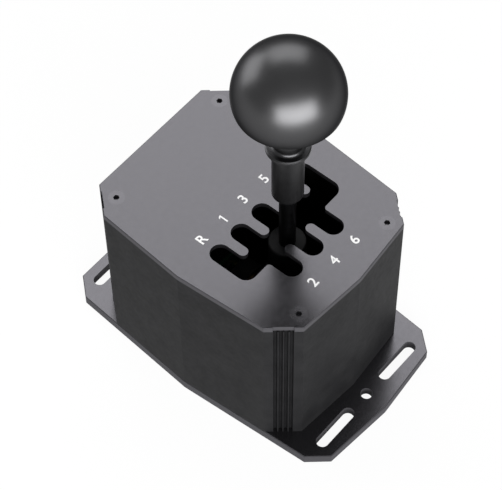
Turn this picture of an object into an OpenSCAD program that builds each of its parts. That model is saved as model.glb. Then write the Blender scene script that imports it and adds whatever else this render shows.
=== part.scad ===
// Sim racing gear shifter: a gated lever in a closed metal housing, built as a
// bench assembly of separate pieces. Millimetres, +Z up, origin at the bottom
// centre of the base plate, +X to the driver's right, +Y forward.

/* [Housing] */
// Width of the housing across the tips of its bowed sides
body_w = 115; // [108:0.5:130]
// Length of the housing between its front and rear corner edges
body_l = 136.8; // [132:0.2:150]
// Height of the extruded housing
body_h = 102; // [96:0.5:125]
// How far each long side is drawn in at its corners
side_bow = 4; // [0:0.1:6]
// How far the driver's side bulges at its middle
front_bow = 3.4; // [0:0.1:5]
// Width of each cut corner, across the body
corner_cut_x = 13.1; // [11:0.1:16]
// Length of each cut corner, along the body
corner_cut_y = 15.2; // [12:0.1:18]
// Thickness of the flat walls
wall = 3; // [2:0.1:4]
// Thickness of the walls behind the cut corners
corner_wall = 5.5; // [4:0.1:7]
// Rounding of the upright edges
edge_round = 0.9; // [0.4:0.1:1.5]

/* [Fluted corners] */
// Number of flutes in each cut corner of the housing
flute_count = 4; // [2:1:4]
// Distance between flutes
flute_pitch = 2.75; // [2.5:0.05:3.2]
// Width of a flute
flute_w = 2.1; // [1.4:0.05:2.2]
// Depth of a flute
flute_depth = 2.4; // [1.4:0.1:3]
// Depth of the shallow recess above them in the gate plate
recess_depth = 0.9; // [0.4:0.1:1.5]

/* [Base plate] */
// Thickness of the base plate
base_t = 6; // [4.5:0.1:9]
// Reach of the front wing from the middle of the body, at its corners
wing_front = 90.2; // [88:0.1:100]
// Reach of the rear wing from the middle of the body
wing_rear = 89.6; // [88:0.1:100]
// How far the edge of the front wing bulges
wing_bow = 3.7; // [0:0.1:6]
// Size of the cut corners of the wings, across the body
wing_cut_x = 9.5; // [6:0.1:12]
// Size of the cut corners of the wings, along the body
wing_cut_y = 10.9; // [8:0.1:12]
// Width of a mounting slot
slot_w = 7; // [5.5:0.1:8]
// End-to-end length of a mounting slot
slot_l = 29; // [20:0.5:34]
// Sideways distance of the slots from the middle
slot_x = 27; // [24:0.5:29]
// Distance of the slots and the middle hole from a wing's edge
slot_edge = 9.4; // [8:0.1:10.5]
// Diameter of the middle mounting hole of each wing
wing_hole_d = 6.6; // [5.5:0.1:8.5]

/* [Gate plate] */
// Thickness of the gate plate
plate_t = 3.2; // [2.5:0.1:5]
// Place of the gate's middle along the body
gate_y = -24.5; // [-27:0.5:-22]
// Distance between neighbouring gears across the gate
gate_pitch = 16.5; // [15.5:0.1:17]
// Width of a gear slot
gate_slot_w = 11; // [10.6:0.1:11.8]
// Half the height of the neutral corridor
corridor_half = 6; // [5.6:0.1:7]
// Travel of the lever from neutral into a gear, at the plate
gate_throw = 16.7; // [16.4:0.1:19]
// Rounding of the open corners beside the rear slots
gate_round = 2; // [1:0.1:2.5]

/* [Lever] */
// Height of the tilting axes above the base plate
pivot_lift = 30; // [29.5:0.1:33]
// Diameter of the lever rod
rod_d = 8.8; // [8:0.1:9.2]
// Gap between the gate plate and the sleeve
sleeve_lift = 32.8; // [28:0.1:45]
// Length of the sleeve
sleeve_h = 36.5; // [20:0.5:45]
// Diameter of the sleeve
sleeve_d = 16.3; // [13:0.1:19]
// Diameter of the flange on top of the sleeve
flange_d = 22.6; // [20.5:0.1:26]
// Thickness of the flange
flange_h = 2.4; // [2:0.1:4]
// Diameter of the slim neck under the knob
neck_d = 14.8; // [12:0.1:16]
// Length of the neck
neck_h = 24.2; // [16:0.1:30]
// Width across the flats of the lock nut under the knob
lock_nut_af = 13; // [12:0.5:16]
// Height of the lock nut
lock_nut_h = 6; // [3:0.5:8]
// Diameter of the knob
knob_d = 55.2; // [48:0.2:60]
// Depth of the flat cut below the knob's middle
knob_cut = 9.4; // [7:0.1:15]
// Rounding of the knob's lower edge
knob_round = 2.9; // [1.5:0.1:4]

/* [Screws] */
// Head diameter of the countersunk body screws
body_head_d = 9; // [8:0.1:10]
// Thread diameter of the body screws
body_screw_d = 5; // [4:0.1:5.4]
// Length of the body screws
body_screw_l = 16; // [10:0.5:24]
// Width across the flats of their sockets
body_hex_af = 3; // [2.5:0.1:3.4]
// Diameter of the threaded bosses in the housing
boss_d = 12; // [11:0.1:13.5]

/* [Mechanism] */
// Diameter of the tilting pins
pin_d = 8; // [7:0.1:8.6]
// Outer diameter of the bushes
bush_d = 11; // [10.4:0.1:12]
// Thickness of the bush flanges
bush_flange_t = 1; // [0.6:0.1:1.5]
// Diameter of the bush flanges
bush_flange_d = 14; // [13:0.1:15]
// Radial running clearance of the pins in the bushes
run_gap = 0.05; // [0.02:0.01:0.1]
// Diameter of the barrel of the lever hub
hub_d = 18; // [16:0.1:18.6]
// Length of the barrel of the lever hub
hub_l = 19; // [16:0.1:22]
// Height of the hub above the tilting axes
hub_h = 26; // [20:0.5:34]
// Wall thickness of the yoke
yoke_wall = 7; // [6:0.1:8]
// Height of the yoke
yoke_h = 18; // [16.5:0.1:18.4]
// Inner length of the yoke
yoke_l = 32; // [31.5:0.1:35]
// Thickness of the bearing blocks
block_t = 10; // [8:0.1:12]
// Width of the bearing blocks at their feet
block_w = 34; // [32:0.5:38]
// Radius of the detent cam
cam_r = 15; // [14:0.1:15.4]
// Diameter of the detent ball
ball_d = 5; // [4:0.1:5.4]
// Mean radius of the centring springs
spring_r = 4.6; // [4.2:0.1:5.2]
// Wire diameter of the centring springs
spring_wire = 1.4; // [1:0.1:1.5]
// Number of turns of a centring spring
spring_turns = 6; // [5:1:7]
// Sideways place of the centring springs
spring_x = 24.5; // [24:0.1:27]

/* [Electronics] */
// Width of the main circuit board
board_w = 50; // [44:0.5:56]
// Length of the main circuit board
board_l = 34; // [28:0.5:38]
// Thickness of the circuit boards
board_t = 1.6; // [1:0.1:2]
// Height of the board standoffs
standoff_h = 6; // [5:0.1:10]
// Width of the cable socket
socket_w = 8.9; // [8:0.1:10]
// Height of the cable socket
socket_h = 3.2; // [2.8:0.1:4]

/* [Hidden] */
$fn = 64;

fit_gap = 0.02;        // between fixed pieces that sit in each other
thrust_gap = 0.3;      // between pieces that turn against each other
over = 1;              // how far a cutter runs past a face
plate_edge = 0.45;     // chamfer on the edges of the plates
recess_side = 0.4;     // how much wider the recess is than the flutes

half_w = body_w / 2;
corner_x = half_w - side_bow;
end_x = corner_x - corner_cut_x;
end_y = body_l / 2;
corner_y = end_y - corner_cut_y;
side_slope = side_bow / corner_y;

body_floor = base_t;
plate_z = base_t + body_h;
top_z = plate_z + plate_t;
wall_list = [wall, corner_wall, wall, wall, corner_wall, wall, corner_wall, wall, wall, corner_wall, wall];

body_points = [
    [0, -end_y - front_bow], [end_x, -end_y], [corner_x, -corner_y], [half_w, 0],
    [corner_x, corner_y], [end_x, end_y], [-end_x, end_y], [-corner_x, corner_y],
    [-half_w, 0], [-corner_x, -corner_y], [-end_x, -end_y]
];
corner_edges = [1, 4, 6, 9];

wing_front_x = half_w - side_slope * (wing_front - wing_cut_y);
wing_rear_x = half_w - side_slope * (wing_rear - wing_cut_y);
base_points = [
    [0, -wing_front - wing_bow], [wing_front_x - wing_cut_x, -wing_front],
    [wing_front_x, -wing_front + wing_cut_y], [half_w, 0],
    [wing_rear_x, wing_rear - wing_cut_y], [wing_rear_x - wing_cut_x, wing_rear],
    [-wing_rear_x + wing_cut_x, wing_rear], [-wing_rear_x, wing_rear - wing_cut_y],
    [-half_w, 0], [-wing_front_x, -wing_front + wing_cut_y],
    [-wing_front_x + wing_cut_x, -wing_front]
];
slot_front_y = -wing_front + slot_edge;
slot_rear_y = wing_rear - slot_edge;

// Gate
rod_r = rod_d / 2;
slot_r = gate_slot_w / 2;
tip_r = (gate_pitch - gate_slot_w) / 2;
pivot_z = base_t + pivot_lift;
engage_angle = atan(gate_throw / (top_z - pivot_z));

// Places of the body screws
boss_r = boss_d / 2;
front_screw_in = [4.8, 7.3];
rear_screw_in = [-0.5, 12.5];
front_screw = [end_x - front_screw_in.x, -end_y + front_screw_in.y];
rear_screw = [end_x - rear_screw_in.x, end_y - rear_screw_in.y];
screw_points = [front_screw, [-front_screw.x, front_screw.y], rear_screw, [-rear_screw.x, rear_screw.y]];
body_pilot_r = body_screw_d / 2 + fit_gap;

// Mechanism, measured from the point where the two tilting axes cross
pin_r = pin_d / 2;
bush_r = bush_d / 2;
cheek_x = hub_l / 2 + thrust_gap + bush_flange_t;
yoke_end = yoke_l / 2;
yoke_out_x = cheek_x + yoke_wall;
yoke_out_y = yoke_end + yoke_wall;
block_face = yoke_out_y + thrust_gap + bush_flange_t;
block_back = block_face + block_t;
block_top_r = bush_flange_d / 2 + 4;
foot_screw_x = block_w / 2 - 5;
foot_screw_d = 4;
foot_head_d = 7.6;
foot_socket_af = 2.4;
foot_screw_l = 14;
block_foot_h = 9;
trunnion_out = block_back + 1.5;
pin_end = yoke_out_x + 2;
magnet_d = 6;
magnet_h = 2.5;

hub_r = hub_d / 2;
hub_boss_r = rod_r + 4;
rod_seat = pin_r + 5;
set_screw_d = 3;
set_socket_af = 1.5;
set_socket_l = 1.5;
set_screw_heights = [rod_seat + 5, rod_seat + 12];

cam_w = 8;
cam_half_angle = 58;
cam_notch_r = 1.6;
cam_notch_out = cam_r + 0.5;
cam_screw_angle = 38;
cam_screw_d = 3;
cam_screw_in = pin_r + 1.5;
cam_screw_out = cam_r - 0.5;
cam_socket_l = 1.7;
ball_r = ball_d / 2;
ball_mid = cam_r + thrust_gap + ball_r;
plunger_d = 8;
plunger_socket_af = 3;
plunger_top = ball_mid - 0.8;
bridge_w = 14;
bridge_top = ball_mid + 1.7;
bridge_t = 4;
bridge_bottom = bridge_top + bridge_t;
bridge_screw_d = 3;
bridge_head_d = 5.5;
bridge_head_h = 2.2;
bridge_socket_af = 2.5;
plunger_nut_af = 12;
plunger_nut_h = 3.4;
plunger_bottom = bridge_bottom + plunger_nut_h + 0.2;

wing_t = 3;
wing_z = -yoke_h / 2;
wing_reach = spring_x + spring_r + spring_wire / 2 + 1.2;
wing_half = spring_r + spring_wire / 2 + 1.8;
seat_r = spring_r + spring_wire / 2 + 0.8;
seat_t = 2;
seat_post_r = spring_r - spring_wire / 2 - 0.7;
seat_post_h = 6;
spigot_r = 2;
spigot_l = base_t / 2;
spring_low = seat_t - pivot_lift;
spring_high = wing_z - thrust_gap;
spring_end_pitch = spring_wire + 0.55;
spring_sides = 6;
spring_steps = 12;

// Electronics
board_z = base_t + standoff_h;
board_back = end_y - wall - 0.6;
board_mid_y = board_back - board_l / 2;
board_hole_in = 3.5;
board_hole_r = 1.6;
board_holes = [for (sx = [-1, 1], sy = [-1, 1])
    [sx * (board_w / 2 - board_hole_in), board_mid_y + sy * (board_l / 2 - board_hole_in)]];
standoff_af = 5.5;
stud_l = base_t * 0.6;
socket_l = 7.4;
socket_skin = 0.35;
socket_z = board_z + board_t + socket_h / 2;
socket_face = end_y - 0.6;
socket_gap = 0.5;
tongue_w = 0.72 * socket_w;
tongue_t = 0.7;
processor = [9, 9, 1.6];
processor_at = [-7.5, -1.5];
regulator = [6, 5, 1.4];
regulator_at = [7, -5.5];
lead_socket = [8, 5, 5];
lead_socket_at = [15, -12.5];
lead_socket_wall = 1;
sensor_w = 20;
sensor_h = 18;
sensor_gap = 2.2;
chip_t = 1;
sensor_post_r = 2;
sensor_post_x = 7.5;
sensor_chip = [4, 5];
engage_board_h = sensor_h - 2;
engage_board_mid = 4.5;
small_screw_d = 2.5;
small_screw_r = small_screw_d / 2;
small_screw_in = 4;
small_head_d = 4.4;
small_head_h = 1.6;
board_head_d = 4.6;
board_head_h = 1.8;
small_socket_af = 2;
post_hole = small_screw_in + 1;
select_board_y = trunnion_out + magnet_h + sensor_gap + chip_t;
engage_board_x = pin_end + magnet_h + sensor_gap + chip_t;

// Lever
rod_low = pivot_z + rod_seat;
sleeve_z = top_z + sleeve_lift;
flange_z = sleeve_z + sleeve_h;
neck_z = flange_z + flange_h;
nut_z = neck_z + neck_h;
knob_flat_z = nut_z + lock_nut_h;
knob_r = knob_d / 2;
knob_mid_z = knob_flat_z + knob_cut;
stud_d = 8;
insert_r = 7;
insert_h = 18;
insert_skirt_h = 1.5;
insert_skirt_r = insert_r + 2;
stud_h = 15;
bore_r = rod_r + fit_gap;
neck_fillet = 2;
neck_end_r = neck_d / 2 + neck_fillet;
sleeve_edge = 0.5;
flange_edge = 0.6;
nut_edge = 0.9;

black = [0.13, 0.13, 0.135];
dark = [0.2, 0.2, 0.21];
steel = [0.62, 0.63, 0.65];
bronze = [0.68, 0.5, 0.28];
circuit = [0.06, 0.22, 0.13];

// Outline helpers

function unit(v) = v / norm(v);
function left_of(v) = [-v.y, v.x];
function cross2(a, b) = a.x * b.y - a.y * b.x;
function meet(p, u, q, v) = p + u * (cross2(q - p, v) / cross2(u, v));

// Moves each edge of a counter-clockwise outline inwards by its own distance
function inset(pts, d) = let (n = len(pts)) [for (i = [0 : n - 1])
    let (a = pts[(i + n - 1) % n], b = pts[i], c = pts[(i + 1) % n],
         u = unit(b - a), v = unit(c - b), da = d[(i + n - 1) % n], db = d[i])
    meet(b + left_of(u) * da, u, b + left_of(v) * db, v)];

// Rounds each corner of a counter-clockwise outline with a short arc
function rounded(pts, r, steps = 4) = let (n = len(pts)) [for (i = [0 : n - 1])
    let (a = pts[(i + n - 1) % n], b = pts[i], c = pts[(i + 1) % n],
         u = unit(b - a), v = unit(c - b), turn = acos(u * v),
         mid = b + unit(v - u) * r / cos(turn / 2), from = atan2(u.y, u.x) - 90)
    for (k = [0 : steps]) mid + r * [cos(from + turn * k / steps), sin(from + turn * k / steps)]];

function same(count, value) = [for (i = [1 : count]) value];

body_outline = rounded(body_points, edge_round);
base_outline = rounded(base_points, edge_round);

// Shape helpers

module prism(points, z, h) translate([0, 0, z]) linear_extrude(h) polygon(points);

// A plate with a small chamfer round its upper edge
module edged_plate(points, z, t) {
    hull() {
        prism(points, z, t - plate_edge);
        prism(inset(points, same(len(points), plate_edge)), z, t);
    }
}

// A slot with round ends, along X
module slot_x_cut(length, width, z, h) {
    reach = (length - width) / 2;
    translate([-reach, -width / 2, z]) cube([2 * reach, width, h]);
    for (side = [-1, 1]) translate([side * reach, 0, z]) cylinder(h = h, d = width);
}

module hex_bar(across, h) cylinder(h = h, r = across / sqrt(3), $fn = 6);

// A countersunk screw, head up, with the top of its head at z = 0
module sunk_screw(head, shank, length, socket) {
    cone = (head - shank) / 2;
    difference() {
        union() {
            translate([0, 0, -cone]) cylinder(h = cone, d1 = shank, d2 = head);
            translate([0, 0, -length]) cylinder(h = length - cone / 2, d = shank);
        }
        translate([0, 0, -cone]) hex_bar(socket, cone + over);
    }
}

// The hole for that screw
module sunk_hole(head, shank, length) {
    cone = (head - shank) / 2;
    translate([0, 0, -cone]) cylinder(h = cone, d1 = shank + 2 * fit_gap, d2 = head + 2 * fit_gap);
    cylinder(h = over, d = head + 2 * fit_gap);
    translate([0, 0, -length]) cylinder(h = length, d = shank + 2 * fit_gap);
}

// A screw with a round head below z = 0, its shank pointing up
module cap_screw(head, head_h, shank, length, socket) {
    difference() {
        union() {
            translate([0, 0, -head_h]) cylinder(h = head_h, d = head);
            cylinder(h = length, d = shank);
        }
        translate([0, 0, -head_h - over]) hex_bar(socket, over + head_h / 2);
    }
}

// A screw of the circuit boards
module small_screw(head, head_h, length) cap_screw(head, head_h, small_screw_d, length, small_socket_af);

// A bush along Z with its flange below z = 0
module flanged_bush(length) {
    difference() {
        union() {
            cylinder(h = length, r = bush_r);
            translate([0, 0, -bush_flange_t]) cylinder(h = bush_flange_t, d = bush_flange_d);
        }
        translate([0, 0, -bush_flange_t - over])
            cylinder(h = length + bush_flange_t + 2 * over, r = pin_r + run_gap);
    }
}

// Moves to the point where the tilting axes cross
module at_pivot() translate([0, gate_y, pivot_z]) children();

// Points +Z along an axis of the mechanism
module along_x(side = 1) rotate([0, 90 * side, 0]) children();
module along_y(side = 1) rotate([-90 * side, 0, 0]) children();

// Repeats a child at each cut corner, its X along the corner and -Y outwards
module at_cut_corners() {
    for (i = corner_edges) {
        a = body_points[i];
        b = body_points[i + 1];
        translate([(a.x + b.x) / 2, (a.y + b.y) / 2, 0])
            rotate(atan2(b.y - a.y, b.x - a.x)) children();
    }
}

// Upright grooves with round bottoms in the cut corners
module corner_flutes(z, h) {
    flute_r = flute_w / 2;
    at_cut_corners() for (i = [0 : flute_count - 1])
        translate([(i - (flute_count - 1) / 2) * flute_pitch, 0, z]) {
            translate([-flute_r, -over, 0]) cube([flute_w, over + flute_depth - flute_r, h]);
            translate([0, flute_depth - flute_r, 0]) cylinder(h = h, r = flute_r, $fn = 32);
        }
}

// The shallow recess as wide as all the flutes together
module corner_recess(z, h) {
    recess_w = (flute_count - 1) * flute_pitch + flute_w + recess_side;
    at_cut_corners() translate([-recess_w / 2, -over, z]) cube([recess_w, over + recess_depth, h]);
}

// Shell

module base_plate() color(dark) {
    difference() {
        edged_plate(base_outline, 0, base_t);
        for (side = [-1, 1], y = [slot_front_y, slot_rear_y])
            translate([side * slot_x, y, 0]) slot_x_cut(slot_l, slot_w, -over, base_t + 2 * over);
        for (y = [slot_front_y, slot_rear_y])
            translate([0, y, -over]) cylinder(h = base_t + 2 * over, d = wing_hole_d);
        for (p = screw_points)
            translate([p.x, p.y, 0]) mirror([0, 0, 1]) sunk_hole(body_head_d, body_screw_d, base_t + over);
        for (p = foot_points())
            translate([p.x, p.y, 0]) mirror([0, 0, 1]) sunk_hole(foot_head_d, foot_screw_d, base_t + over);
        for (side = [-1, 1]) translate([side * spring_x, gate_y, base_t - spigot_l - fit_gap])
            cylinder(h = spigot_l + over, r = spigot_r + fit_gap);
        for (p = board_holes) translate([p.x, p.y, base_t - stud_l - fit_gap])
            cylinder(h = stud_l + over, r = small_screw_r + fit_gap);
    }
}

function foot_points() = [for (sx = [-1, 1], sy = [-1, 1])
    [sx * foot_screw_x, gate_y + sy * (block_face + block_t / 2)]];

module housing() color(black) {
    difference() {
        prism(body_outline, body_floor, body_h);
        difference() {
            prism(inset(body_points, wall_list), body_floor - over, body_h + 2 * over);
            for (p = screw_points)
                translate([p.x, p.y, body_floor - 2 * over]) cylinder(h = body_h + 4 * over, r = boss_r);
        }
        corner_flutes(body_floor - over, body_h + 2 * over);
        for (p = screw_points) translate([p.x, p.y, body_floor - over])
            cylinder(h = body_h + 2 * over, r = body_pilot_r);
        translate([0, socket_face, socket_z]) along_y()
            slot_x_cut(socket_w + 2 * socket_gap, socket_h + 2 * socket_gap, -2 * wall, 4 * wall);
    }
}

// The opening of the gate: gear slots, the neutral corridor and round finger tips
module gate_cut(z, h) {
    reach = corridor_half + tip_r;
    corner_x = gate_pitch + slot_r + gate_round;
    translate([0, gate_y, z]) difference() {
        union() {
            for (i = [-2 : 2]) translate([i * gate_pitch, 0, 0]) {
                translate([-slot_r, 0, 0]) cube([gate_slot_w, gate_throw, h]);
                translate([0, gate_throw, 0]) cylinder(h = h, r = slot_r);
            }
            for (i = [-1 : 1]) translate([i * gate_pitch, 0, 0]) {
                translate([-slot_r, -gate_throw, 0]) cube([gate_slot_w, gate_throw, h]);
                translate([0, -gate_throw, 0]) cylinder(h = h, r = slot_r);
            }
            slot_x_cut(4 * gate_pitch + gate_slot_w, 2 * corridor_half, 0, h);
            translate([-2 * gate_pitch, 0, 0]) cube([4 * gate_pitch, reach, h]);
            translate([-corner_x, -corridor_half - gate_round, 0])
                cube([2 * corner_x, corridor_half + gate_round, h]);
            translate([-gate_pitch, -reach, 0]) cube([2 * gate_pitch, reach, h]);
        }
        translate([0, 0, -over]) {
            for (i = [-1.5 : 1.5]) translate([i * gate_pitch, reach, 0]) cylinder(h = h + 2 * over, r = tip_r);
            for (i = [-0.5, 0.5]) translate([i * gate_pitch, -reach, 0]) cylinder(h = h + 2 * over, r = tip_r);
            for (side = [-1, 1]) translate([side * corner_x, -corridor_half - gate_round, 0])
                cylinder(h = h + 2 * over, r = gate_round);
        }
    }
}

module gate_plate() color(dark) {
    difference() {
        edged_plate(body_outline, plate_z, plate_t);
        gate_cut(plate_z - over, plate_t + 2 * over);
        corner_recess(plate_z - over, plate_t + 2 * over);
        for (p = screw_points)
            translate([p.x, p.y, top_z]) sunk_hole(body_head_d, body_screw_d, plate_t + over);
    }
}

module gate_plate_screws() color(black) {
    for (p = screw_points) translate([p.x, p.y, top_z])
        sunk_screw(body_head_d, body_screw_d, body_screw_l, body_hex_af);
}

module base_screws() color(steel) {
    for (p = screw_points) translate([p.x, p.y, 0]) mirror([0, 0, 1])
        sunk_screw(body_head_d, body_screw_d, body_screw_l, body_hex_af);
}

// Bearings of the sideways tilt

// Front view of a bearing block: a square foot, sloping sides and a round head
function block_outline() = let (
    shoulder = block_foot_h - pivot_lift,
    low = atan2(shoulder, block_w / 2) + acos(block_top_r / norm([block_w / 2, shoulder])),
    steps = 24)
    concat(
        [[-block_w / 2, -pivot_lift], [block_w / 2, -pivot_lift], [block_w / 2, shoulder]],
        [for (k = [0 : steps]) let (a = low + (180 - 2 * low) * k / steps) block_top_r * [cos(a), sin(a)]],
        [[-block_w / 2, shoulder]]);

module bearing_block(side) {
    at_pivot() mirror([0, side < 0 ? 1 : 0, 0]) difference() {
        translate([0, block_back, 0]) rotate([90, 0, 0]) linear_extrude(block_t) polygon(block_outline());
        translate([0, block_face - over, 0]) along_y() cylinder(h = block_t + 2 * over, r = bush_r + fit_gap);
        for (sx = [-1, 1]) translate([sx * foot_screw_x, block_face + block_t / 2, -pivot_lift - over])
            cylinder(h = foot_screw_l, d = foot_screw_d + 2 * fit_gap);
        if (side > 0) for (p = select_post_points())
            translate([p.x, block_back - post_hole, p.y]) along_y()
                cylinder(h = post_hole + over, r = small_screw_r + fit_gap);
    }
}

function select_post_points() = [[-sensor_post_x, -sensor_post_x], [sensor_post_x, -sensor_post_x]];

module front_bearing_block() color(dark) bearing_block(-1);
module rear_bearing_block() color(dark) bearing_block(1);

module block_screws() color(steel) {
    for (p = foot_points()) translate([p.x, p.y, 0]) mirror([0, 0, 1])
        sunk_screw(foot_head_d, foot_screw_d, base_t + foot_screw_l - 2 * over, foot_socket_af);
}

module block_bushes() color(bronze) {
    at_pivot() for (side = [-1, 1]) along_y(side) translate([0, 0, block_face]) flanged_bush(block_t);
}

// Centring springs

function spring_rise(turn, turns, height) =
    turn < 1 ? spring_end_pitch * turn
    : turn > turns - 1 ? height - spring_end_pitch * (turns - turn)
    : spring_end_pitch + (height - 2 * spring_end_pitch) * (turn - 1) / (turns - 2);

// Centre points of the wire, from the lower end to the upper one
function spring_path(height) = [for (i = [0 : spring_steps * spring_turns])
    let (turn = i / spring_steps)
    [spring_r * cos(360 * turn), spring_r * sin(360 * turn),
     spring_wire / 2 + spring_rise(turn, spring_turns, height - spring_wire)]];

function ring_at(path, i) = let (
    n = len(path),
    t = unit(path[min(i + 1, n - 1)] - path[max(i - 1, 0)]),
    out = unit([path[i].x, path[i].y, 0]),
    up = cross(t, out))
    [for (k = [0 : spring_sides - 1])
        path[i] + spring_wire / 2 * (out * cos(360 * k / spring_sides) + up * sin(360 * k / spring_sides))];

// Least free gap between any two turns of the wire
function spring_gap(path) = min([for (i = [0 : len(path) - 1])
    for (j = [i + spring_steps / 2 : 1 : len(path) - 1]) norm(path[j] - path[i]) - spring_wire]);

module wire_tube(path) {
    n = len(path);
    s = spring_sides;
    points = [for (i = [0 : n - 1]) each ring_at(path, i)];
    sides = [for (i = [0 : n - 2]) for (k = [0 : s - 1])
        each [[i * s + k, (i + 1) * s + k, i * s + (k + 1) % s],
              [i * s + (k + 1) % s, (i + 1) * s + k, (i + 1) * s + (k + 1) % s]]];
    ends = [for (k = [1 : s - 2]) each [[0, k, k + 1], [(n - 1) * s, (n - 1) * s + k + 1, (n - 1) * s + k]]];
    polyhedron(points = points, faces = concat(sides, ends), convexity = 8);
}

module centring_spring(side) {
    path = spring_path(spring_high - spring_low);
    echo(spring_gap = spring_gap(path));
    at_pivot() translate([side * spring_x, 0, spring_low]) wire_tube(path);
}

module left_centring_spring() color(steel) centring_spring(-1);
module right_centring_spring() color(steel) centring_spring(1);

module spring_seats() color(black) {
    for (side = [-1, 1]) translate([side * spring_x, gate_y, base_t]) {
        cylinder(h = seat_t, r = seat_r);
        translate([0, 0, -spigot_l]) cylinder(h = spigot_l + seat_t + seat_post_h, r = spigot_r);
        cylinder(h = seat_t + seat_post_h, r = seat_post_r);
    }
}

// Electronics on the base

module main_board() color(circuit) {
    difference() {
        translate([-board_w / 2, board_mid_y - board_l / 2, board_z]) cube([board_w, board_l, board_t]);
        for (p = board_holes) translate([p.x, p.y, board_z - over])
            cylinder(h = board_t + 2 * over, r = board_hole_r);
    }
}

module board_standoffs() color(bronze) {
    for (p = board_holes) translate([p.x, p.y, base_t]) difference() {
        union() {
            hex_bar(standoff_af, standoff_h);
            translate([0, 0, -stud_l]) cylinder(h = stud_l + over, r = small_screw_r);
        }
        translate([0, 0, over]) cylinder(h = standoff_h, r = small_screw_r + fit_gap);
    }
}

module board_screws() color(steel) {
    for (p = board_holes) translate([p.x, p.y, board_z + board_t]) mirror([0, 0, 1])
        small_screw(board_head_d, board_head_h, board_t + small_screw_in);
}

// Moves to a place on the main board, measured from its middle
module on_board(x, y) translate([x, board_mid_y + y, board_z + board_t]) children();

// A block that stands on its middle
module part_block(size) translate([-size.x / 2, -size.y / 2, 0]) cube(size);

module board_chips() color(black) {
    on_board(processor_at.x, processor_at.y) part_block(processor);
    on_board(regulator_at.x, regulator_at.y) part_block(regulator);
    for (side = [-1, 1]) on_board(side * lead_socket_at.x, lead_socket_at.y) difference() {
        part_block(lead_socket);
        translate([0, -over, lead_socket_wall]) part_block(lead_socket - 2 * lead_socket_wall * [1, 0, 1]);
    }
}

// A flat socket with round ends and a tongue, its mouth just inside the rear wall
module cable_socket() color(steel) {
    translate([0, socket_face, socket_z]) along_y() {
        difference() {
            translate([0, 0, -socket_l]) slot_x_cut(socket_w, socket_h, 0, socket_l);
            translate([0, 0, -socket_l + 1])
                slot_x_cut(socket_w - 2 * socket_skin, socket_h - 2 * socket_skin, 0, socket_l);
        }
        translate([-tongue_w / 2, -tongue_t / 2, -socket_l + over / 2])
            cube([tongue_w, tongue_t, socket_l - 1]);
    }
}

// A small board that reads the turn of a magnet, seen along its axis from the magnet
module sensor_board(points) {
    difference() {
        translate([-sensor_w / 2, -sensor_h / 2 - 1, 0]) cube([sensor_w, sensor_h, board_t]);
        for (p = points) translate([p.x, p.y, -over])
            cylinder(h = board_t + 2 * over, r = small_screw_r + fit_gap);
    }
}

module select_sensor_board() color(circuit) {
    at_pivot() translate([0, select_board_y, 0]) rotate([-90, 0, 0]) mirror([0, 1, 0])
        sensor_board(select_post_points());
}

module select_sensor_chip() color(black) {
    at_pivot() translate([-sensor_chip.x / 2, select_board_y - chip_t, -sensor_chip.y / 2])
        cube([sensor_chip.x, chip_t, sensor_chip.y]);
}

module select_sensor_posts() color(bronze) {
    length = select_board_y - block_back;
    at_pivot() for (p = select_post_points()) translate([p.x, block_back, p.y]) along_y() difference() {
        cylinder(h = length, r = sensor_post_r);
        translate([0, 0, -over]) cylinder(h = length + 2 * over, r = small_screw_r + fit_gap);
    }
}

module select_sensor_screws() color(steel) {
    length = select_board_y + board_t - block_back + small_screw_in;
    at_pivot() for (p = select_post_points()) translate([p.x, select_board_y + board_t, p.y])
        along_y(-1) small_screw(small_head_d, small_head_h, length);
}

// Yoke: the frame that tilts sideways and carries the lever's pin

module yoke() color(dark) {
    at_pivot() difference() {
        union() {
            translate([-yoke_out_x, -yoke_out_y, -yoke_h / 2])
                frame_block(2 * yoke_out_x, 2 * yoke_out_y, yoke_h);
            for (side = [-1, 1]) translate([side * (yoke_out_x - over), -wing_half, wing_z])
                mirror([side < 0 ? 1 : 0, 0, 0]) spring_wing();
        }
        translate([-cheek_x, -yoke_end, -yoke_h]) cube([2 * cheek_x, 2 * yoke_end, 2 * yoke_h]);
        for (side = [-1, 1]) {
            along_x(side) translate([0, 0, cheek_x - over])
                cylinder(h = yoke_wall + 2 * over, r = bush_r + fit_gap);
            along_y(side) translate([0, 0, yoke_end - over])
                cylinder(h = yoke_wall + 2 * over, r = pin_r + fit_gap);
            translate([0, side * (yoke_end + yoke_wall / 2), -yoke_h / 2 - over])
                cylinder(h = yoke_h / 2 - pin_r - 1 + over, d = bridge_screw_d + 2 * fit_gap);
        }
        for (p = engage_post_points()) translate([yoke_out_x - post_hole, p.x, p.y]) along_x()
            cylinder(h = post_hole + over, r = small_screw_r + fit_gap);
    }
}

// A block with round upright edges
module frame_block(w, l, h) {
    r = 4;
    translate([r, 0, 0]) cube([w - 2 * r, l, h]);
    translate([0, r, 0]) cube([w, l - 2 * r, h]);
    for (x = [r, w - r], y = [r, l - r]) translate([x, y, 0]) cylinder(h = h, r = r);
}

// The arm above a centring spring, with a round end
module spring_wing() {
    reach = wing_reach - yoke_out_x + over - wing_half;
    cube([reach, 2 * wing_half, wing_t]);
    translate([reach, wing_half, 0]) cylinder(h = wing_t, r = wing_half);
}

function engage_post_points() = [[-sensor_post_x, sensor_post_x - 2], [sensor_post_x, sensor_post_x - 2]];

module trunnion_pins() color(steel) {
    at_pivot() for (side = [-1, 1]) along_y(side) translate([0, 0, yoke_end])
        cylinder(h = trunnion_out - yoke_end, r = pin_r);
}

module yoke_bushes() color(bronze) {
    at_pivot() for (side = [-1, 1]) along_x(side) translate([0, 0, cheek_x]) flanged_bush(yoke_wall);
}

module select_magnet() color(steel) {
    at_pivot() along_y() translate([0, 0, trunnion_out]) cylinder(h = magnet_h, d = magnet_d);
}

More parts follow.
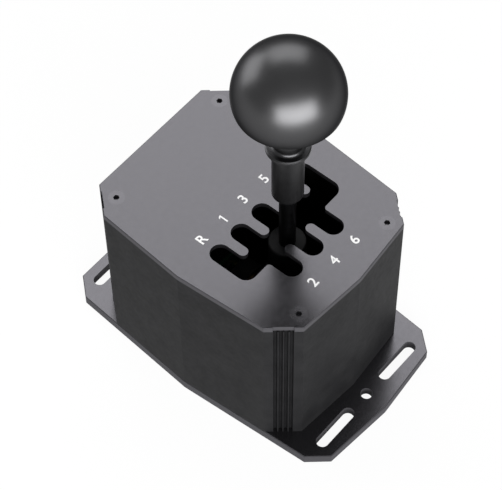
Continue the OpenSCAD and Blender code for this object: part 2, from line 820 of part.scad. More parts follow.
// The strap under the yoke that holds the detent plunger
module detent_bridge() color(black) {
    at_pivot() difference() {
        translate([-bridge_w / 2, -yoke_out_y, -bridge_bottom])
            cube([bridge_w, 2 * yoke_out_y, bridge_bottom - yoke_h / 2]);
        translate([-bridge_w, -yoke_end, -bridge_top]) cube([2 * bridge_w, 2 * yoke_end, bridge_top]);
        translate([0, 0, -bridge_bottom - over])
            cylinder(h = bridge_t + 2 * over, d = plunger_d + 2 * fit_gap);
        for (side = [-1, 1]) translate([0, side * (yoke_end + yoke_wall / 2), -bridge_bottom - over]) {
            cylinder(h = bridge_bottom, d = bridge_screw_d + 2 * fit_gap);
            cylinder(h = bridge_head_h + over, d = bridge_head_d + thrust_gap);
        }
    }
}

module bridge_screws() color(steel) {
    length = bridge_bottom - bridge_head_h - pin_r - 2;
    at_pivot() for (side = [-1, 1])
        translate([0, side * (yoke_end + yoke_wall / 2), -bridge_bottom + bridge_head_h])
            cap_screw(bridge_head_d, bridge_head_h, bridge_screw_d, length, bridge_socket_af);
}

module detent_plunger() color(steel) {
    at_pivot() difference() {
        translate([0, 0, -plunger_bottom]) cylinder(h = plunger_bottom - plunger_top, d = plunger_d);
        translate([0, 0, -ball_mid]) sphere(r = ball_r + fit_gap);
        translate([0, 0, -plunger_bottom - over]) hex_bar(plunger_socket_af, over + 2);
    }
}

module detent_ball() color(steel) at_pivot() translate([0, 0, -ball_mid]) sphere(r = ball_r);

module plunger_nut() color(steel) {
    at_pivot() difference() {
        translate([0, 0, -bridge_bottom - plunger_nut_h]) hex_bar(plunger_nut_af, plunger_nut_h);
        translate([0, 0, -plunger_bottom - over]) cylinder(h = plunger_bottom, d = plunger_d + 2 * fit_gap);
    }
}

module engage_sensor_board() color(circuit) {
    at_pivot() translate([engage_board_x, 0, engage_board_mid]) rotate([90, 0, 90]) difference() {
        translate([-sensor_w / 2, -engage_board_h / 2, 0]) cube([sensor_w, engage_board_h, board_t]);
        for (p = engage_post_points()) translate([p.x, p.y - engage_board_mid, -over])
            cylinder(h = board_t + 2 * over, r = small_screw_r + fit_gap);
    }
}

module engage_sensor_chip() color(black) {
    at_pivot() translate([engage_board_x - chip_t, -sensor_chip.x / 2, -sensor_chip.y / 2])
        cube([chip_t, sensor_chip.x, sensor_chip.y]);
}

module engage_sensor_posts() color(bronze) {
    length = engage_board_x - yoke_out_x;
    at_pivot() for (p = engage_post_points()) translate([yoke_out_x, p.x, p.y]) along_x() difference() {
        cylinder(h = length, r = sensor_post_r);
        translate([0, 0, -over]) cylinder(h = length + 2 * over, r = small_screw_r + fit_gap);
    }
}

module engage_sensor_screws() color(steel) {
    length = engage_board_x + board_t - yoke_out_x + small_screw_in;
    at_pivot() for (p = engage_post_points()) translate([engage_board_x + board_t, p.x, p.y])
        along_x(-1) small_screw(small_head_d, small_head_h, length);
}

// Lever: the hub on its pin, the cam below it, the rod and the grip above it

module lever_hub() color(dark) {
    at_pivot() difference() {
        union() {
            along_x() translate([0, 0, -hub_l / 2]) cylinder(h = hub_l, r = hub_r);
            cylinder(h = hub_h, r = hub_boss_r);
        }
        along_x() translate([0, 0, -hub_l]) cylinder(h = 2 * hub_l, r = pin_r + fit_gap);
        translate([0, 0, rod_seat]) cylinder(h = hub_h, r = bore_r);
        for (z = set_screw_heights) translate([0, -hub_boss_r - over, z]) along_y()
            cylinder(h = hub_boss_r - rod_r + over, d = set_screw_d + 2 * fit_gap);
        at_cam_screws() translate([0, 0, cam_screw_in - 0.1])
            cylinder(h = hub_r, d = cam_screw_d + 2 * fit_gap);
    }
}

module hub_set_screws() color(steel) {
    length = hub_boss_r - rod_r - 0.3;
    at_pivot() for (z = set_screw_heights) translate([0, -hub_boss_r + 0.2, z]) along_y() difference() {
        cylinder(h = length, d = set_screw_d);
        translate([0, 0, -over]) hex_bar(set_socket_af, over + set_socket_l);
    }
}

module engage_pin() color(steel) {
    at_pivot() along_x() translate([0, 0, -pin_end]) cylinder(h = 2 * pin_end, r = pin_r);
}

module engage_magnet() color(steel) {
    at_pivot() along_x() translate([0, 0, pin_end]) cylinder(h = magnet_h, d = magnet_d);
}

// A curved cam under the hub with one notch for each place of the lever
module detent_cam() color(steel) {
    wedge = 2 * cam_r;
    at_pivot() difference() {
        rotate([90, 0, 90]) translate([0, 0, -cam_w / 2]) linear_extrude(cam_w) intersection() {
            difference() {
                circle(r = cam_r);
                circle(r = hub_r + fit_gap);
            }
            polygon([[0, 0], [-wedge * sin(cam_half_angle), -wedge * cos(cam_half_angle)],
                     [0, -2 * wedge], [wedge * sin(cam_half_angle), -wedge * cos(cam_half_angle)]]);
        }
        for (i = [-1 : 1]) rotate([i * engage_angle, 0, 0]) translate([-cam_w, 0, -cam_notch_out])
            along_x() cylinder(h = 2 * cam_w, r = cam_notch_r);
        at_cam_screws() cylinder(h = 2 * cam_r, d = cam_screw_d + 2 * fit_gap);
    }
}

// Points +Z outwards along each cam screw, from the pin's axis
module at_cam_screws() {
    for (side = [-1, 1]) rotate([180 + side * cam_screw_angle, 0, 0]) children();
}

module cam_screws() color(steel) {
    at_pivot() at_cam_screws() difference() {
        translate([0, 0, cam_screw_in]) cylinder(h = cam_screw_out - cam_screw_in, d = cam_screw_d);
        translate([0, 0, cam_screw_out - cam_socket_l]) hex_bar(set_socket_af, cam_socket_l + over);
    }
}

module lever_rod() color(steel) {
    translate([0, gate_y, rod_low]) cylinder(h = nut_z - rod_low, r = rod_r);
    translate([0, gate_y, nut_z]) cylinder(h = lock_nut_h + stud_h, d = stud_d);
}

// Moves to the lever's axis at a height
module on_lever(z) translate([0, gate_y, z]) children();

module sleeve() color(black) {
    on_lever(sleeve_z) difference() {
        rotate_extrude() chamfered_half(sleeve_d / 2, sleeve_h, sleeve_edge);
        translate([0, 0, -over]) cylinder(h = sleeve_h + 2 * over, r = bore_r);
    }
}

// Half section of a disc with chamfered lower and upper edges
module chamfered_half(r, h, c) {
    polygon([[0, 0], [r - c, 0], [r, c], [r, h - c], [r - c, h], [0, h]]);
}

module sleeve_flange() color(black) {
    on_lever(flange_z) difference() {
        rotate_extrude() chamfered_half(flange_d / 2, flange_h, flange_edge);
        translate([0, 0, -over]) cylinder(h = flange_h + 2 * over, r = bore_r);
    }
}

// The slim neck, which flares with a hollow curve at its foot and at its head
module knob_neck() color(black) {
    on_lever(neck_z) difference() {
        rotate_extrude() difference() {
            square([neck_end_r, neck_h]);
            for (z = [neck_fillet, neck_h - neck_fillet]) translate([neck_end_r, z]) circle(r = neck_fillet);
            translate([neck_end_r - neck_fillet, neck_fillet])
                square([2 * neck_fillet, neck_h - 2 * neck_fillet]);
        }
        translate([0, 0, -over]) cylinder(h = neck_h + 2 * over, r = bore_r);
    }
}

module lock_nut() color(steel) {
    on_lever(nut_z) difference() {
        intersection() {
            hex_bar(lock_nut_af, lock_nut_h);
            rotate_extrude() chamfered_half(lock_nut_af / sqrt(3) - 0.2, lock_nut_h, nut_edge);
        }
        translate([0, 0, -over]) cylinder(h = lock_nut_h + 2 * over, d = stud_d + 2 * fit_gap);
    }
}

module knob_insert() color(bronze) {
    on_lever(knob_flat_z) difference() {
        union() {
            cylinder(h = insert_h, r = insert_r);
            cylinder(h = insert_skirt_h, r = insert_skirt_r);
        }
        translate([0, 0, -over]) cylinder(h = stud_h + over + 1, d = stud_d + 2 * fit_gap);
    }
}

// A ball cut flat below its middle, with a round lower edge
module knob() color(black) {
    edge_r = sqrt(pow(knob_r - knob_round, 2) - pow(knob_cut - knob_round, 2));
    touch = knob_r / (knob_r - knob_round);
    touch_r = edge_r * touch;
    touch_z = -(knob_cut - knob_round) * touch;
    on_lever(knob_mid_z) difference() {
        rotate_extrude($fn = 96) {
            polygon([[0, -knob_cut], [edge_r, -knob_cut], [edge_r, -knob_cut + knob_round],
                     [touch_r, touch_z], [0, touch_z]]);
            intersection() {
                circle(r = knob_r, $fn = 96);
                translate([0, touch_z]) square([knob_d, knob_d]);
            }
            intersection() {
                translate([edge_r, -knob_cut + knob_round]) circle(r = knob_round, $fn = 48);
                translate([edge_r, -knob_cut]) square([knob_r, knob_cut + touch_z]);
            }
        }
        translate([0, 0, -knob_cut - over]) cylinder(h = insert_h + over + 0.5, r = insert_r + fit_gap);
        translate([0, 0, -knob_cut - over]) cylinder(h = insert_skirt_h + over, r = insert_skirt_r + fit_gap);
    }
}

base_plate();
housing();
gate_plate();
gate_plate_screws();
base_screws();
front_bearing_block();
rear_bearing_block();
block_screws();
block_bushes();
left_centring_spring();
right_centring_spring();
spring_seats();
main_board();
board_standoffs();
board_screws();
board_chips();
cable_socket();
select_sensor_board();
select_sensor_chip();
select_sensor_posts();
select_sensor_screws();
yoke();
trunnion_pins();
yoke_bushes();
select_magnet();
detent_bridge();
bridge_screws();
detent_plunger();
detent_ball();
plunger_nut();
engage_sensor_board();
engage_sensor_chip();
engage_sensor_posts();
engage_sensor_screws();
lever_hub();
engage_pin();
engage_magnet();
detent_cam();
cam_screws();
hub_set_screws();
lever_rod();
sleeve();
sleeve_flange();
knob_neck();
lock_nut();
knob_insert();
knob();
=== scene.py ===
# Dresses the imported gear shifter: finishes, lower sleeve, springs, gear numbers, floor, lights and camera.
# Metres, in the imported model's own frame: +X to the driver's right, +Y forward, +Z up.

import math

import bpy
from mathutils import Matrix, Vector


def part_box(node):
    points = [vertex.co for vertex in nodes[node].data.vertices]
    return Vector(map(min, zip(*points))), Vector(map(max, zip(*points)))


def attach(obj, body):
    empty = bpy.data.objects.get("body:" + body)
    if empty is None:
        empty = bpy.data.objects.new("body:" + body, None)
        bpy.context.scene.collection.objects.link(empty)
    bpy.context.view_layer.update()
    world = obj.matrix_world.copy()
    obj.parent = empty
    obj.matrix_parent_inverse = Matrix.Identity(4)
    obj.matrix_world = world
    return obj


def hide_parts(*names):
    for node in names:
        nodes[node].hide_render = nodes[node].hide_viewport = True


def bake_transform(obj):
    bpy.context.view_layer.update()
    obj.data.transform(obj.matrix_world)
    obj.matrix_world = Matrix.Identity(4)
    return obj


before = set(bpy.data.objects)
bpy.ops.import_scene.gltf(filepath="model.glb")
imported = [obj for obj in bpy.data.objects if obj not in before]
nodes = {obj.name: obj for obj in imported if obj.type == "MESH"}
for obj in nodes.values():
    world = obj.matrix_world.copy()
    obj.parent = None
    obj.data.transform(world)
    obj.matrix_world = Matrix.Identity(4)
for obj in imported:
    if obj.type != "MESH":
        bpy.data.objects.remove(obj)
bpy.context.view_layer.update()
scene = bpy.context.scene

MM = 0.001

# Sizes read from the frame
plate_low, plate_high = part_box("gate_plate")
rod_low, rod_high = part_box("lever_rod")
hub_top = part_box("lever_hub")[1].z
rod_radius = (rod_high.x - rod_low.x) / 2
gate_x = (rod_low.x + rod_high.x) / 2
gate_y = (rod_low.y + rod_high.y) / 2

# Half sizes of the box about the lever that holds the gate's slots, across X and Y
slots_reach = (45 * MM, 30 * MM)

# Lower sleeve: its radius, its rounded edge and how far it ends below the gate plate
sleeve_radius = 9.9 * MM
sleeve_edge = 0.5 * MM
sleeve_gap = 6.9 * MM

# Centring springs: their wire, their turns and the gap beside the closed turn at each end
spring_wire = 1.4 * MM
spring_turns = 6
spring_end_gap = 0.55 * MM

# Gear numbers: their height, their lift off the plate, and each one's place along X and Y
label_height = 5.6 * MM
label_lift = 0.03 * MM
forward_row = 4.75 * MM
forward_labels = [("R", -32.7), ("1", -16.2), ("3", 0.0), ("5", 16.8), ("7", 33.2)]
rearward_row = -55.0 * MM
rearward_labels = [("2", -16.5), ("4", 0.5), ("6", 16.8)]

# How white the floor and the world are, seen directly and mirrored, and how strongly the world lights
WHITE = (1.0, 1.0, 1.0, 1.0)
floor_seen, floor_mirrored = 0.94, 0.94
world_seen, world_mirrored = 1.0, 0.35
world_light = 0.15


# Node helpers

def math_node(tree, operation, *values):
    """A Math node on sockets or numbers."""
    node = tree.nodes.new("ShaderNodeMath")
    node.operation = operation
    for socket, value in zip(node.inputs, values):
        if isinstance(value, bpy.types.NodeSocket):
            tree.links.new(value, socket)
        else:
            socket.default_value = value
    return node.outputs[0]


class Nodes:
    """A material's node tree, with short ways to add nodes. Noise scales are in waves per metre."""

    def __init__(self, name):
        self.material = bpy.data.materials.new(name)
        self.material.use_nodes = True
        self.tree = self.material.node_tree
        self.shader = self.tree.nodes["Principled BSDF"]
        places = self.add("ShaderNodeTexCoord")
        self.object_space = places.outputs["Object"]
        self.normal = places.outputs["Normal"]

    def add(self, kind, **settings):
        node = self.tree.nodes.new(kind)
        for key, value in settings.items():
            setattr(node, key, value)
        return node

    def join(self, source, target):
        self.tree.links.new(source, target)

    def stretched(self, scale):
        """Object coordinates in metres, multiplied by one scale for each axis."""
        mapping = self.add("ShaderNodeMapping")
        mapping.inputs["Scale"].default_value = scale
        self.join(self.object_space, mapping.inputs["Vector"])
        return mapping.outputs["Vector"]

    def noise(self, scale, detail=2.0, vector=None):
        node = self.add("ShaderNodeTexNoise")
        node.inputs["Scale"].default_value = scale
        node.inputs["Detail"].default_value = detail
        self.join(vector or self.object_space, node.inputs["Vector"])
        return node.outputs["Fac"]

    def spread(self, fac, low, high, start=0.3, end=0.7):
        """fac from start to end, as a value from low to high."""
        node = self.add("ShaderNodeMapRange")
        node.inputs["From Min"].default_value = start
        node.inputs["From Max"].default_value = end
        node.inputs["To Min"].default_value = low
        node.inputs["To Max"].default_value = high
        self.join(fac, node.inputs["Value"])
        return node.outputs["Result"]

    def near(self, fac, middle, change):
        """A noise as a value that stays within change of middle."""
        return self.spread(fac, middle - change, middle + change)

    def blend(self, fac, first, second):
        """A colour from first to second."""
        node = self.add("ShaderNodeMix", data_type="RGBA")
        self.join(fac, node.inputs["Factor"])
        node.inputs["A"].default_value = (*first, 1.0)
        node.inputs["B"].default_value = (*second, 1.0)
        return node.outputs["Result"]

    def bump(self, height, distance):
        node = self.add("ShaderNodeBump")
        node.inputs["Distance"].default_value = distance
        self.join(height, node.inputs["Height"])
        return node.outputs["Normal"]

    def within(self, centre, reach):
        """1 inside an upright box about a centre, 0 outside it, both in metres across X and Y."""
        parts = self.add("ShaderNodeSeparateXYZ")
        self.join(self.object_space, parts.inputs["Vector"])
        shares = []
        for axis, middle, half in zip("XY", centre, reach):
            offset = math_node(self.tree, "SUBTRACT", parts.outputs[axis], middle)
            shares.append(math_node(self.tree, "DIVIDE", math_node(self.tree, "ABSOLUTE", offset), half))
        return math_node(self.tree, "LESS_THAN", math_node(self.tree, "MAXIMUM", *shares), 1.0)

    def finished(self, colour, roughness, normal, **constants):
        """The material, with its shader joined. Constants have underscores for spaces."""
        self.join(colour, self.shader.inputs["Base Color"])
        self.join(roughness, self.shader.inputs["Roughness"])
        self.join(normal, self.shader.inputs["Normal"])
        for key, value in constants.items():
            self.shader.inputs[key.replace("_", " ")].default_value = value
        return self.material


def scaled(colour, factor, extra=0.0):
    """A colour with each channel times a factor, plus an extra."""
    return tuple(channel * factor + extra for channel in colour)


# Finishes

cloud_scale = 90.0
smear_scale = 350.0
peel_scale = 1800.0


def dark_coat(name, colour, roughness, specular):
    """Fine satin powder coat: a soft orange peel, a little wear in tone and gloss."""
    m = Nodes(name)
    clouds = m.spread(m.noise(cloud_scale, detail=4.0), 0.0, 1.0)
    tones = m.blend(clouds, colour, scaled(colour, 1.25, extra=0.002))
    gloss = m.near(m.noise(smear_scale), roughness, change=0.03)
    peel = m.bump(m.noise(peel_scale), 0.004 * MM)
    return m.finished(tones, gloss, peel, Specular_IOR_Level=specular)


def plate_coat(name, colour, roughness, specular, side_roughness):
    """Satin coat, smooth on the flat top and in the gate's slots, duller on the sides and edges."""
    m = Nodes(name)
    slot_roughness = 0.35
    level_start, level_end = 0.75, 0.98
    facing = m.add("ShaderNodeSeparateXYZ")
    m.join(m.normal, facing.inputs["Vector"])
    in_slots = m.within((gate_x, gate_y), slots_reach)
    gloss = m.add("ShaderNodeMix", data_type="FLOAT")
    m.join(m.spread(facing.outputs["Z"], 0.0, 1.0, level_start, level_end), gloss.inputs["Factor"])
    m.join(m.spread(in_slots, side_roughness, slot_roughness, start=0.0, end=1.0), gloss.inputs["A"])
    m.join(m.near(m.noise(smear_scale), roughness, change=0.02), gloss.inputs["B"])
    tones = m.blend(m.noise(cloud_scale, detail=4.0), colour, scaled(colour, 1.15))
    peel = m.bump(m.noise(peel_scale), 0.0004 * MM)
    return m.finished(tones, gloss.outputs["Result"], peel,
                      Specular_IOR_Level=specular, Specular_Tint=(0.94, 0.92, 1.0, 1.0))


def turned_metal(name, colour, roughness, axis="Z", depth=0.003 * MM):
    """Metal with fine lathe marks round an axis and slight stains."""
    m = Nodes(name)
    mark_scale, drift_scale, stain_scale = 2600.0, 120.0, 140.0
    stretch = [mark_scale if letter == axis else drift_scale for letter in "XYZ"]
    marks = m.noise(1.0, vector=m.stretched(stretch))
    stains = m.spread(m.noise(stain_scale, detail=4.0), 0.0, 1.0, start=0.35, end=0.75)
    tones = m.blend(stains, colour, scaled(colour, 0.8))
    return m.finished(tones, m.near(marks, roughness, change=0.06), m.bump(marks, depth), Metallic=1.0)


def moulded(name, colour, roughness):
    """Matt moulded plastic with a fine spark texture."""
    m = Nodes(name)
    mottle_scale, gloss_scale, spark_scale = 220.0, 500.0, 2600.0
    tones = m.blend(m.noise(mottle_scale, detail=3.0), colour, scaled(colour, 1.3))
    gloss = m.near(m.noise(gloss_scale), roughness, change=0.04)
    return m.finished(tones, gloss, m.bump(m.noise(spark_scale), 0.006 * MM))


def knob_finish():
    """Satin black ball: smooth, with faint hand wear."""
    m = Nodes("knob_black")
    wear_scale, gloss_scale, ripple_scale = 60.0, 160.0, 900.0
    wear = m.spread(m.noise(wear_scale, detail=5.0), 0.0, 1.0, start=0.45, end=0.8)
    tones = m.blend(wear, (0.068, 0.068, 0.070), (0.073, 0.073, 0.075))
    gloss = m.near(m.noise(gloss_scale, detail=4.0), 0.35, change=0.01)
    return m.finished(tones, gloss, m.bump(m.noise(ripple_scale), 0.001 * MM),
                      Metallic=1.0, Specular_Tint=(0.3, 0.3, 0.3, 1.0))


def circuit_finish():
    """Green solder mask with raised traces in a grid of short runs."""
    m = Nodes("circuit_board")
    trace_scale, gloss_scale = 260.0, 400.0
    cells = m.add("ShaderNodeTexBrick")
    cells.inputs["Scale"].default_value = trace_scale
    cells.inputs["Mortar Size"].default_value = 0.06
    m.join(m.object_space, cells.inputs["Vector"])
    traces = cells.outputs["Fac"]
    tones = m.blend(traces, (0.008, 0.055, 0.026), (0.02, 0.12, 0.05))
    gloss = m.near(m.noise(gloss_scale), 0.35, change=0.05)
    return m.finished(tones, gloss, m.bump(traces, 0.03 * MM))


def ink_finish():
    """White printed ink, slightly uneven."""
    m = Nodes("white_ink")
    tone_scale, gloss_scale, grain_scale = 900.0, 700.0, 2500.0
    tones = m.blend(m.noise(tone_scale, detail=3.0), (0.80, 0.80, 0.80), (0.90, 0.90, 0.90))
    gloss = m.near(m.noise(gloss_scale), 0.55, change=0.05)
    return m.finished(tones, gloss, m.bump(m.noise(grain_scale), 0.003 * MM))


plate_black = (0.0056, 0.0055, 0.006)
steel_grey = (0.56, 0.56, 0.57)

shell_coat = dark_coat("shell_coat", (0.007, 0.007, 0.0075), 0.56, specular=0.06)
inner_alloy = dark_coat("inner_alloy", (0.045, 0.045, 0.048), 0.42, specular=0.5)
gate_coat = plate_coat("gate_coat", plate_black, 0.24, specular=0.88, side_roughness=0.8)
base_coat = plate_coat("base_coat", plate_black, 0.24, specular=1.0, side_roughness=1.0)
screw_coat = plate_coat("screw_coat", plate_black, 0.26, specular=1.0, side_roughness=0.4)
black_oxide = turned_metal("black_oxide", (0.035, 0.035, 0.037), 0.38)
grip_alloy = turned_metal("grip_alloy", (0.048, 0.048, 0.050), 0.34, depth=0.002 * MM)
rod_black = turned_metal("rod_black", (0.016, 0.016, 0.017), 0.34, depth=0.002 * MM)
steel_x = turned_metal("steel_turned_x", steel_grey, 0.28, "X")
steel_y = turned_metal("steel_turned_y", steel_grey, 0.28, "Y")
steel_z = turned_metal("steel_turned_z", steel_grey, 0.28, "Z")
nickel = turned_metal("nickel", (0.66, 0.65, 0.62), 0.16, depth=0.001 * MM)
bronze = turned_metal("sintered_bronze", (0.48, 0.30, 0.13), 0.42)
brass = turned_metal("brass", (0.60, 0.44, 0.17), 0.3)
seat_plastic = moulded("seat_plastic", (0.035, 0.035, 0.036), 0.5)
chip_plastic = moulded("chip_plastic", (0.02, 0.02, 0.021), 0.42)
ink = ink_finish()

finishes = {
    shell_coat: ["housing"],
    gate_coat: ["gate_plate"],
    base_coat: ["base_plate"],
    screw_coat: ["gate_plate_screws"],
    black_oxide: ["base_screws", "block_screws", "bridge_screws", "cam_screws", "hub_set_screws", "lock_nut"],
    grip_alloy: ["sleeve", "sleeve_flange", "knob_neck"],
    rod_black: ["lever_rod"],
    inner_alloy: ["yoke", "lever_hub", "front_bearing_block", "rear_bearing_block", "detent_bridge"],
    steel_x: ["engage_pin", "detent_cam", "engage_sensor_screws"],
    steel_y: ["trunnion_pins", "select_sensor_screws"],
    steel_z: ["detent_plunger", "plunger_nut", "board_screws"],
    nickel: ["select_magnet", "engage_magnet", "detent_ball", "cable_socket"],
    bronze: ["block_bushes", "yoke_bushes"],
    brass: ["knob_insert", "board_standoffs", "select_sensor_posts", "engage_sensor_posts"],
    seat_plastic: ["spring_seats"],
    chip_plastic: ["board_chips", "select_sensor_chip", "engage_sensor_chip"],
    knob_finish(): ["knob"],
    circuit_finish(): ["main_board", "select_sensor_board", "engage_sensor_board"],
}
for finish, names in finishes.items():
    for name in names:
        mesh = nodes[name].data
        mesh.materials.clear()
        mesh.materials.append(finish)


# Object helpers

def placed(name, data):
    """A new object in the scene."""
    item = bpy.data.objects.new(name, data)
    scene.collection.objects.link(item)
    return item


def placed_mesh(name, points, faces, finish, sharp_angle):
    """A new smooth mesh with one finish, sharp where its faces meet at more than an angle in degrees."""
    mesh = bpy.data.meshes.new(name)
    mesh.from_pydata(points, [], faces)
    mesh.shade_smooth()
    mesh.set_sharp_from_angle(angle=math.radians(sharp_angle))
    mesh.materials.append(finish)
    return placed(name, mesh)


# Lower sleeve

def add_lower_sleeve():
    """The thick tube that stands on the hub; its top shows through the gate."""
    steps = 64
    top = plate_low.z - sleeve_gap
    flat_radius = sleeve_radius - sleeve_edge
    section = [(rod_radius, hub_top), (flat_radius, hub_top), (sleeve_radius, hub_top + sleeve_edge),
               (sleeve_radius, top - sleeve_edge), (flat_radius, top), (rod_radius, top)]
    count = len(section)
    points = []
    faces = []
    for k in range(steps):
        turn = 2 * math.pi * k / steps
        points += [(gate_x + r * math.cos(turn), gate_y + r * math.sin(turn), z) for r, z in section]
        near, far = k * count, (k + 1) % steps * count
        for i in range(count):
            following = (i + 1) % count
            faces.append((near + i, far + i, far + following, near + following))
    tube = placed_mesh("lower_sleeve", points, faces, shell_coat, sharp_angle=30)
    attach(tube, "lever")


add_lower_sleeve()


# Centring springs, between the base and the yoke

def spring_centres(foot, height, radius):
    """Centre points of the wire, with a closed turn at each end."""
    steps = 24
    closed = spring_wire + spring_end_gap
    rise = height - spring_wire
    centres = []
    for i in range(spring_turns * steps + 1):
        turn = i / steps
        if turn < 1:
            lift = closed * turn
        elif turn > spring_turns - 1:
            lift = rise - closed * (spring_turns - turn)
        else:
            lift = closed + (rise - 2 * closed) * (turn - 1) / (spring_turns - 2)
        angle = 2 * math.pi * turn
        around = Vector((radius * math.cos(angle), radius * math.sin(angle), spring_wire / 2 + lift))
        centres.append(foot + around)
    return centres


def wire_mesh(foot, centres):
    """Points and faces of a round wire along the centres, with its ends closed."""
    sides = 10
    last = len(centres) - 1
    points = []
    for i, centre in enumerate(centres):
        along = (centres[min(i + 1, last)] - centres[max(i - 1, 0)]).normalized()
        outward = Vector((centre.x - foot.x, centre.y - foot.y, 0.0)).normalized()
        across = along.cross(outward)
        for k in range(sides):
            angle = 2 * math.pi * k / sides
            points.append(centre + (outward * math.cos(angle) + across * math.sin(angle)) * spring_wire / 2)
    faces = []
    for i in range(last):
        near, far = i * sides, (i + 1) * sides
        for k in range(sides):
            following = (k + 1) % sides
            faces.append((near + k, near + following, far + following, far + k))
    faces.append(tuple(reversed(range(sides))))
    faces.append(tuple(range(last * sides, (last + 1) * sides)))
    return points, faces


def add_spring(node, name):
    """A spring in the place of its node, with a closed turn at each end."""
    low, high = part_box(node)
    foot = Vector(((low.x + high.x) / 2, (low.y + high.y) / 2, low.z))
    centres = spring_centres(foot, high.z - low.z, (high.x - low.x - spring_wire) / 2)
    coil = placed_mesh(name, *wire_mesh(foot, centres), steel_z, sharp_angle=60)
    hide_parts(node)
    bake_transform(coil)


add_spring("left_centring_spring", "left_coil")
add_spring("right_centring_spring", "right_coil")


# Gear numbers

def outline_of_one():
    """The figure 1 with its flag, about its own middle, in shares of its height."""
    corners = [(0.02, -0.5), (0.17, -0.5), (0.17, 0.5), (0.05, 0.5),
               (-0.17, 0.35), (-0.17, 0.21), (0.02, 0.33)]
    points = [(x * label_height, y * label_height, 0.0) for x, y in corners]
    mesh = bpy.data.meshes.new("gear_one")
    mesh.from_pydata(points, [], [range(len(points))])
    return mesh


def outline_of_text(text):
    """A letter or figure in the built-in font, made slightly bolder."""
    capital_share = 0.7
    bolder_share = 0.024
    curve = bpy.data.curves.new("gear_" + text, "FONT")
    curve.body = text
    curve.align_x = "CENTER"
    curve.align_y = "CENTER"
    curve.size = label_height / capital_share
    curve.offset = bolder_share * label_height
    curve.resolution_u = 6
    flat = placed("gear_%s_outline" % text, curve)
    bpy.context.view_layer.update()
    mesh = bpy.data.meshes.new_from_object(flat.evaluated_get(bpy.context.evaluated_depsgraph_get()))
    bpy.data.objects.remove(flat)
    return mesh


def add_label(text, x, y):
    """A gear number, printed on the gate plate about a place along X and Y."""
    mesh = outline_of_one() if text == "1" else outline_of_text(text)
    mesh.transform(Matrix.Translation((x, y, plate_high.z + label_lift)))
    mesh.materials.clear()
    mesh.materials.append(ink)
    label = placed("gear_label_" + text, mesh)
    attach(label, "body")


for row, labels in ((forward_row, forward_labels), (rearward_row, rearward_labels)):
    for text, x in labels:
        add_label(text, gate_x + x * MM, row)


# Floor, lights and camera

def join_background(tree, output, dull, white, seen, mirrored):
    """The camera and mirrors find the white shader, by their shares. The dull one lights all else."""
    path = tree.nodes.new("ShaderNodeLightPath")
    indirect = math_node(tree, "MAXIMUM", path.outputs["Is Glossy Ray"], path.outputs["Is Transmission Ray"])
    shares = (math_node(tree, "MULTIPLY", path.outputs["Is Camera Ray"], seen),
              math_node(tree, "MULTIPLY", indirect, mirrored))
    mix = tree.nodes.new("ShaderNodeMixShader")
    tree.links.new(math_node(tree, "MAXIMUM", *shares), mix.inputs["Fac"])
    tree.links.new(dull.outputs[0], mix.inputs[1])
    tree.links.new(white.outputs[0], mix.inputs[2])
    tree.links.new(mix.outputs["Shader"], output.inputs["Surface"])


def add_floor():
    """A large white square just below the base plate."""
    half = 6.0
    drop = 0.1 * MM
    corners = [(-half, -half, 0), (half, -half, 0), (half, half, 0), (-half, half, 0)]
    mesh = bpy.data.meshes.new("floor")
    mesh.from_pydata(corners, [], [(0, 1, 2, 3)])
    floor = placed("floor", mesh)
    floor.location.z = -drop
    material = bpy.data.materials.new("floor_white")
    material.use_nodes = True
    tree = material.node_tree
    tree.nodes.clear()
    output = tree.nodes.new("ShaderNodeOutputMaterial")
    dull = tree.nodes.new("ShaderNodeBsdfDiffuse")
    dull.inputs["Color"].default_value = (0.9, 0.9, 0.9, 1.0)
    white = tree.nodes.new("ShaderNodeEmission")
    white.inputs["Color"].default_value = WHITE
    join_background(tree, output, dull, white, floor_seen, floor_mirrored)
    mesh.materials.append(material)


def add_world():
    world = bpy.data.worlds.new("studio")
    scene.world = world
    world.use_nodes = True
    tree = world.node_tree
    tree.nodes.clear()
    output = tree.nodes.new("ShaderNodeOutputWorld")
    dull = tree.nodes.new("ShaderNodeBackground")
    dull.inputs["Color"].default_value = WHITE
    dull.inputs["Strength"].default_value = world_light
    white = tree.nodes.new("ShaderNodeBackground")
    white.inputs["Color"].default_value = WHITE
    join_background(tree, output, dull, white, world_seen, world_mirrored)


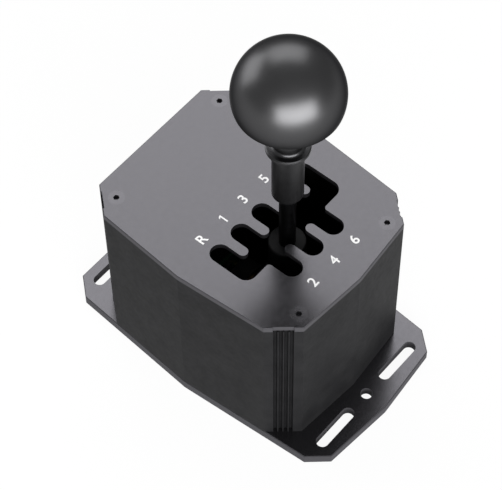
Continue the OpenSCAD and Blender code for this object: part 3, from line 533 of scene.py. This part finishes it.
def add_softbox(name, direction, distance, width, height, radiance):
    """A rectangular light in a direction from the object, facing it."""
    aim = Vector((0.0, -0.01, 0.12))
    light = bpy.data.lights.new(name, "AREA")
    light.shape = "RECTANGLE"
    light.size = width
    light.size_y = height
    light.energy = radiance * math.pi * width * height
    lamp = placed(name, light)
    towards = Vector(direction).normalized()
    lamp.location = aim + towards * distance
    lamp.rotation_mode = "QUATERNION"
    lamp.rotation_quaternion = towards.to_track_quat("Z", "Y")


def add_camera():
    """The photograph's own view, found by fitting a camera to the plates' corners."""
    azimuth = math.radians(-49.235)
    elevation = math.radians(56.064)
    roll = math.radians(-0.921)
    distance = 1118.8 * MM
    target = Vector((23.02, 19.33, 28.8)) * MM
    focal_pixels = 2013.2
    frame_width, frame_height = 502, 490
    centre_pixel = (251.9, 245.1)
    back = Vector((math.sin(azimuth) * math.cos(elevation), -math.cos(azimuth) * math.cos(elevation),
                   math.sin(elevation)))
    right = Vector((math.cos(azimuth), math.sin(azimuth), 0.0))
    up = back.cross(right)
    rolled_right = right * math.cos(roll) + up * math.sin(roll)
    rolled_up = up * math.cos(roll) - right * math.sin(roll)
    data = bpy.data.cameras.new("photo_camera")
    data.sensor_width = 36.0
    data.lens = focal_pixels / frame_width * data.sensor_width
    data.shift_x = (frame_width / 2 - centre_pixel[0]) / frame_width
    data.shift_y = (centre_pixel[1] - frame_height / 2) / frame_width
    data.clip_start = 0.01
    data.clip_end = 50.0
    camera = placed("photo_camera", data)
    turned = Matrix((rolled_right, rolled_up, back)).transposed()
    camera.matrix_world = Matrix.Translation(target + back * distance) @ turned.to_4x4()
    scene.camera = camera


add_floor()
add_world()
add_softbox("back_softbox", (0.5375, 0.478, 0.695), distance=1.6, width=1.5, height=1.16, radiance=3.05)
add_softbox("key_softbox", (-0.576, -0.793, 0.215), distance=1.5, width=2.2, height=1.0, radiance=9.3)
add_softbox("left_softbox", (-0.12, 0.94, 0.32), distance=1.4, width=1.1, height=0.9, radiance=3.6)
add_camera()

scene.view_settings.view_transform = "Standard"
